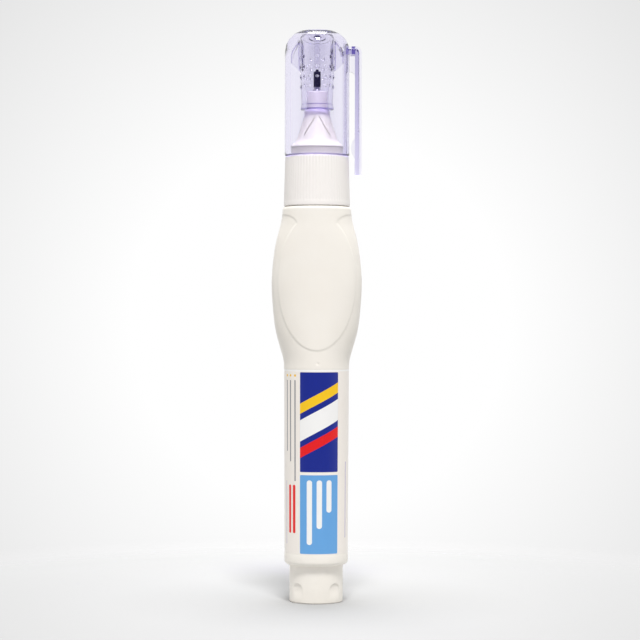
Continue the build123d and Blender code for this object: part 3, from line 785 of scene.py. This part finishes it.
def makeCap():
    size = cap
    bm = wireProfile(size, [
        (0, "high", 0), ("radius", "high", "dome"), ("radius", "low", "lip"), ("bore", "low", 0.25),
        *vaultPoints(0, size["vaultDegrees"], 0), ("seatRadius", "seat", 0), ("wellBore", "seat", 0.1),
        ("wellTop", "well", 0.1), ("stem", "ceiling", 0.3), ("stem", "stemLow", 0.25), (0, "stemLow", 0)],
        closed=False)
    splitLong(bm, size["ring"])
    lathe(bm, size["steps"])
    cuts = [((0, side * size["windowHalf"] * mm, 0), (0, 1, 0)) for side in (-1, 1)]
    cuts += [((0, 0, size[end] * mm), (0, 0, 1)) for end in ("windowLow", "windowHigh")]
    for point, normal in cuts:
        near = [face for face in bm.faces if inWindow(face, size["windowMargin"])]
        edges = {edge for face in near for edge in face.edges}
        verts = {vert for face in near for vert in face.verts}
        bmesh.ops.bisect_plane(bm, geom=near + list(edges) + list(verts), dist=0.0005 * mm, plane_co=point,
                               plane_no=normal)
    gone = [face for face in bm.faces if inWindow(face, 0)]
    bmesh.ops.delete(bm, geom=gone, context="FACES")
    bmesh.ops.bridge_loops(bm, edges=[edge for edge in bm.edges if edge.is_boundary])
    faceOut(bm)
    addPiece("capShell", bm, "cap_body", clearViolet, "cap_shell", 50)


makeCap()


# inner cap: the sleeve that closes round the tip holder, with rows of lens-like dots

sleeve = {
    "low": 117.0, "high": 134.28, "mouth": 3.72, "top": 4.27, "bore": 3.35, "boreLow": 3.05, "boreFoot": 123.4,
    "holderBore": 2.55, "holderHigh": 121.6, "bead": 0.2, "beadHigh": 0.7,
    "skin": 0.3, "ring": 0.1, "boreRing": 0.8, "steps": 256,
    "columns": 14, "rows": 3, "pitch": 2.38, "dot": 0.45, "dotClear": 0.6, "bulge": 0.25, "dotHigh": 129.5,
    "finHalf": 0.6, "finEdge": 0.2, "finGap": 0.1, "finVaultGap": 0.08, "finTop": 0.2, "finReach": 6.37,
    "finLow": 128.2, "finSlope": 2.0, "pocketDegrees": 25, "pocketLow": 130.0,
}


def addFin(bm, side):
    # a flat fin between the sleeve and the cap's wall, a hair clear of both
    size = sleeve
    rootLow = size["finLow"] - size["finSlope"]
    share = (rootLow - size["low"]) / (size["high"] - size["low"])
    root = size["mouth"] + (size["top"] - size["mouth"]) * share
    first = size["pocketDegrees"] if side > 0 else 0
    vault = vaultPoints(first, cap["vaultDegrees"] - 2, size["finVaultGap"])
    corners = [(size["top"] + size["finGap"], size["high"] - size["finTop"], 0),
               (root + size["finGap"], rootLow, 0), ("finReach", "finLow", 0.15)]
    if side > 0:
        # room for the clip's root
        corners += [("finReach", "pocketLow", 0), (vault[0][0], "pocketLow", 0)]
    fin = wireProfile(size, corners + vault)
    bmesh.ops.translate(fin, verts=fin.verts, vec=(0, -size["finHalf"] * mm, 0))
    face = bmesh.ops.contextual_create(fin, geom=fin.edges[:])["faces"][0]
    grown = bmesh.ops.extrude_face_region(fin, geom=[face])
    bmesh.ops.translate(fin, verts=vertsOf(grown), vec=(0, 2 * size["finHalf"] * mm, 0))
    # the outer edges are eased, and painted shade is laid on them
    paintedShade = fin.faces.layers.float.new("paintedShade")
    rims = [edge for edge in fin.edges if abs(edge.verts[0].co.y - edge.verts[1].co.y) < hair * mm
            and (edge.verts[0].co + edge.verts[1].co).z / 2 > size["finLow"] * mm]
    eased = bmesh.ops.bevel(fin, geom=rims, offset=size["finEdge"] * mm, offset_type="OFFSET", segments=1,
                            profile=0.5, affect="EDGES", material=-1)
    for face in eased["faces"]:
        face[paintedShade] = 1
    bmesh.ops.scale(fin, verts=fin.verts, vec=(side, 1, 1))
    faceOut(fin)
    joinInto(bm, fin)


def makeSleeve():
    size = sleeve
    beadRadius, beadTop = size["mouth"] + size["bead"], size["low"] + size["beadHigh"]
    bm = wireProfile(size, [
        ("holderBore", "low", 0.12), (beadRadius, "low", 0.15), (beadRadius, beadTop, 0.2),
        ("mouth", size["low"] + 2 * size["beadHigh"], 0.3), ("top", "high", 0.05), ("bore", "high", 0.05),
        ("boreLow", "boreFoot", 0.6), ("holderBore", "holderHigh", 0.6)])
    outside = size["mouth"] - size["skin"]
    splitLong(bm, size["ring"], outside)
    splitLong(bm, size["boreRing"])
    lathe(bm, size["steps"])
    columnTurn = 2 * math.pi / size["columns"]
    frost = bm.verts.layers.float.new("frost")
    for vert in bm.verts:
        x, y, z = vert.co / mm
        radius = math.hypot(x, y)
        if radius < outside:
            continue
        turn = math.atan2(x, -y)
        column = round(turn / columnTurn)
        sideways = (turn - column * columnTurn) * radius
        first = size["dotHigh"] - size["pitch"] * (column % 2)
        row = min(size["rows"] - 1, max(0, round((first - z) / size["pitch"])))
        away = math.hypot(sideways, z - (first - row * size["pitch"]))
        if away < size["dot"]:
            vert[frost] = smoothStep(size["dot"], size["dotClear"] * size["dot"], away)
            pushOut(vert, size["bulge"] * (1 - (away / size["dot"])**2))
    for side in (-1, 1):
        addFin(bm, side)
    addPiece("innerSleeve", bm, "cap_body", sleeveViolet, "inner_cap")


makeSleeve()


# pocket clip

clip = {
    "rootIn": 6.0, "high": 132.2, "rootLow": 130.15, "wall": 7.85, "webLow": 126.15, "webHalf": 0.45,
    "armIn": 8.98, "armOut": 10.63, "corner": 1.5, "low": 101.4,
    "nubHigh": 110.4, "nubLow": 105.6, "nubRise": 0.88, "nubSteps": 12,
    "section": ((0.55, 10.63), (0.6, 10.03), (1.85, 9.98), (2.0, 9.85)),  # half width and outer face
    "frostLow": 102.3, "flatShade": 0.4, "flatOut": 1.9,
}


def makeClip():
    size = clip
    turn = size["armIn"] - size["wall"]
    webFoot = size["webLow"] - turn
    bm = wireProfile(size, [
        ("rootIn", "high", 0), ("rootIn", "rootLow", 0), ("wall", "rootLow", 0), ("armIn", "rootLow", 0),
        ("armIn", webFoot, 0), ("armIn", "nubHigh", 0), ("armIn", "nubLow", 0), ("armIn", "low", 0.5),
        ("armOut", "low", 0.2), ("armOut", "high", "corner")])
    bmesh.ops.contextual_create(bm, geom=bm.edges[:])

    def corner(x, z):
        return min(bm.verts, key=lambda vert: math.hypot(vert.co.x - x * mm, vert.co.z - z * mm))

    # the web hangs between the bridge and the arm, arched at its foot; the nub is a shallow bow on the arm
    web = [corner(size["wall"], size["rootLow"]), corner(size["armIn"], size["rootLow"]),
           corner(size["armIn"], webFoot)]
    for degrees in range(75, -1, -15):
        bend = math.radians(degrees)
        x, z = size["wall"] + turn * math.sin(bend), webFoot + turn * math.cos(bend)
        web.append(bm.verts.new((x * mm, 0, z * mm)))
    nub = [corner(size["armIn"], size["nubLow"]), corner(size["armIn"], size["nubHigh"])]
    for step in range(1, size["nubSteps"]):
        share = step / size["nubSteps"]
        x = size["armIn"] - size["nubRise"] * (1 - (2 * share - 1)**2)
        z = size["nubHigh"] + (size["nubLow"] - size["nubHigh"]) * share
        nub.append(bm.verts.new((x * mm, 0, z * mm)))
    bm.faces.new(web)
    bm.faces.new(nub)
    bmesh.ops.translate(bm, verts=bm.verts, vec=(0, -size["webHalf"] * mm, 0))
    grown = bmesh.ops.extrude_face_region(bm, geom=bm.faces[:])
    bmesh.ops.translate(bm, verts=vertsOf(grown), vec=(0, 2 * size["webHalf"] * mm, 0))
    faceOut(bm)
    # both flat sides grow outwards, to a section with a ridge along the arm
    for side in (-1, 1):
        flat = max((face for face in bm.faces if face.normal.y * side > 0.9), key=lambda face: face.calc_area())
        outline = [vert.co / mm for vert in flat.verts]
        for half, reach in size["section"]:
            flat = bmesh.ops.extrude_discrete_faces(bm, faces=[flat])["faces"][0]
            thin = (reach - size["armIn"]) / (size["armOut"] - size["armIn"])
            drop = 1 - (size["armOut"] - reach) / (size["high"] - size["rootLow"])
            for vert, (x, y, z) in zip(flat.verts, outline):
                x = size["armIn"] + (x - size["armIn"]) * thin if x > size["armIn"] else x
                z = size["rootLow"] + (z - size["rootLow"]) * drop if z > size["rootLow"] else z
                vert.co = Vector((x, side * half, z)) * mm
    faceOut(bm)
    frost = bm.verts.layers.float.new("frost")
    for vert in bm.verts:
        vert[frost] = 1.0 if vert.co.z < size["frostLow"] * mm else 0.0
    # painted shade on the arm's flat sides
    paintedShade = bm.faces.layers.float.new("paintedShade")
    for face in bm.faces:
        face[paintedShade] = size["flatShade"] if abs(face.calc_center_median().y) > size["flatOut"] * mm else 0.0
    addPiece("pocketClip", bm, "clip_body", clipViolet, "clip", 22)


makeClip()


# hidden pieces keep their shape and take a finish

hiddenFinish = {"neck_gasket": sealRubber, "mixing_ball": brightSteel, "spring_seat": whitePlastic}
for node, material in hiddenFinish.items():
    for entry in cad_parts[node].material_slots:
        entry.material = material
print("pieces ready")


# floor, backdrop, lamps and camera

studio = {
    "floorRadius": 150.0, "floorClear": 60.0, "floorMiddle": 0.566, "floorSides": 0.488, "floorFall": 100.0,
    "floorFront": 0.94, "floorBack": 1.06, "contactReach": 45.0, "contactShare": 0.9, "contactLeast": 0.8,
    "ambientHigh": 0.62, "ambientLow": 0.38, "bentLoss": 0.5,
    "glossFront": (0.12, 0.1, 0.3, 1), "glossOver": (-0.75, 0.0),
    "backdropEdge": 0.8, "backdropOver": (0.088, 0.204),
    "keyPlace": (0.03, -0.36, 0.78), "keySize": 0.16, "keyPower": 5.85,
    "topPlace": (0.0, 0.2, 0.7), "topSize": 0.3, "topPower": 2.0, "aim": (0, 0, 0.07),
    "camera": (0.8, -513.0, 67.0), "lens": 121.0, "roll": -0.0022,
}


def makeFloor():
    bm = bmesh.new()
    bmesh.ops.create_circle(bm, cap_ends=True, segments=96, radius=studio["floorRadius"] * mm)
    mesh = bpy.data.meshes.new("floor")
    bm.to_mesh(mesh)
    bm.free()
    floor = bpy.data.objects.new("floor", mesh)
    scene.collection.objects.link(floor)
    material, tree = newMaterial("paleFloor")
    place = objectPlace(tree)
    parts = axesOf(tree, place)
    clearing = studio["floorClear"] * mm
    away = addNode(tree, "ShaderNodeVectorMath", {0: place}, operation="LENGTH").outputs["Value"]
    fade = mapRange(tree, away, (clearing, studio["floorRadius"] * mm), interpolation_type="SMOOTHSTEP")
    # painted shade: a little darker towards the sides and the front, as the backdrop is
    sideways = mapRange(tree, calc(tree, "ABSOLUTE", parts["X"]), (0.0, studio["floorFall"] * mm),
                        (studio["floorMiddle"], studio["floorSides"]), interpolation_type="SMOOTHSTEP")
    depth = mapRange(tree, parts["Y"], (-clearing, clearing), (studio["floorFront"], studio["floorBack"]))
    # painted contact shadow: the floor's colour darkens where the pen stands close by, from ambient occlusion
    nearby = addNode(tree, "ShaderNodeAmbientOcclusion", {"Distance": studio["contactReach"] * mm}, samples=8)
    paintedContactShade = calc(tree, "POWER", nearby.outputs["AO"], studio["contactShare"])
    paintedContactShade = calc(tree, "MAXIMUM", paintedContactShade, studio["contactLeast"])
    shade = calc(tree, "MULTIPLY", calc(tree, "MULTIPLY", sideways, depth), paintedContactShade)
    matte = addNode(tree, "ShaderNodeBsdfDiffuse", {"Color": shade})
    clear = addNode(tree, "ShaderNodeBsdfTransparent")
    fromBelow = addNode(tree, "ShaderNodeNewGeometry").outputs["Backfacing"]
    mixed = mixShader(tree, calc(tree, "MAXIMUM", fade, fromBelow), matte, clear)
    addNode(tree, "ShaderNodeOutputMaterial", {"Surface": mixed.outputs[0]})
    mesh.materials.append(material)


def makeWorld():
    world = bpy.data.worlds.new("studio")
    scene.world = world
    world.use_nodes = True
    tree = world.node_tree
    tree.nodes.clear()

    def background(color, strength=1.0):
        return addNode(tree, "ShaderNodeBackground", {"Color": color, "Strength": strength})

    heading = addNode(tree, "ShaderNodeTexCoord").outputs["Generated"]
    path = addNode(tree, "ShaderNodeLightPath").outputs
    facing = addNode(tree, "ShaderNodeVectorMath", {0: heading, 1: (0, 1, 0)},
                     operation="DOT_PRODUCT").outputs["Value"]
    # bright round the view's middle, falling off towards the corners
    angle = calc(tree, "ARCCOSINE", calc(tree, "MINIMUM", facing, 1.0))
    seen = background(mapRange(tree, angle, studio["backdropOver"], (1.0, studio["backdropEdge"])))
    # part of the light in the cap comes straight through its walls, so the bent part is less
    height = axesOf(tree, heading)["Z"]
    soft = mapRange(tree, height, (-1.0, 1.0), (studio["ambientLow"], studio["ambientHigh"]))
    light = background(soft, calc(tree, "MULTIPLY_ADD", path["Is Transmission Ray"], -studio["bentLoss"], 1.0))
    side = mapRange(tree, facing, studio["glossOver"])
    mirrored = background(mixColor(tree, side, studio["glossFront"], plainWhite))
    # what is seen through the cap, in reflections, as light on matt surfaces, and as the backdrop
    mixed = background(plainWhite)
    for kind, shown in (("Glossy Depth", mirrored), ("Diffuse Depth", light), ("Is Camera Ray", seen)):
        mixed = mixShader(tree, calc(tree, "MINIMUM", path[kind], 1.0), mixed, shown)
    addNode(tree, "ShaderNodeOutputWorld", {"Surface": mixed.outputs[0]})


def addLamp(name, place, width, power):
    data = bpy.data.lights.new(name, "AREA")
    data.size = width
    data.energy = power
    lamp = bpy.data.objects.new(name, data)
    scene.collection.objects.link(lamp)
    lamp.location = place
    lamp.rotation_euler = (Vector(studio["aim"]) - Vector(place)).to_track_quat("-Z", "Y").to_euler()
    lamp.visible_transmission = False  # the cap lets its light through as plain shadow light


def makeCamera():
    data = bpy.data.cameras.new("camera")
    data.sensor_width = 36
    data.lens = studio["lens"]
    data.clip_start = 0.01
    camera = bpy.data.objects.new("camera", data)
    camera.location = Vector(studio["camera"]) * mm
    camera.rotation_euler = (math.pi / 2, studio["roll"], 0)
    scene.collection.objects.link(camera)
    scene.camera = camera


makeFloor()
makeWorld()
for kind in ("key", "top"):
    addLamp(kind + "Lamp", studio[kind + "Place"], studio[kind + "Size"], studio[kind + "Power"])
makeCamera()
scene.view_settings.view_transform = "Standard"
print("studio ready")
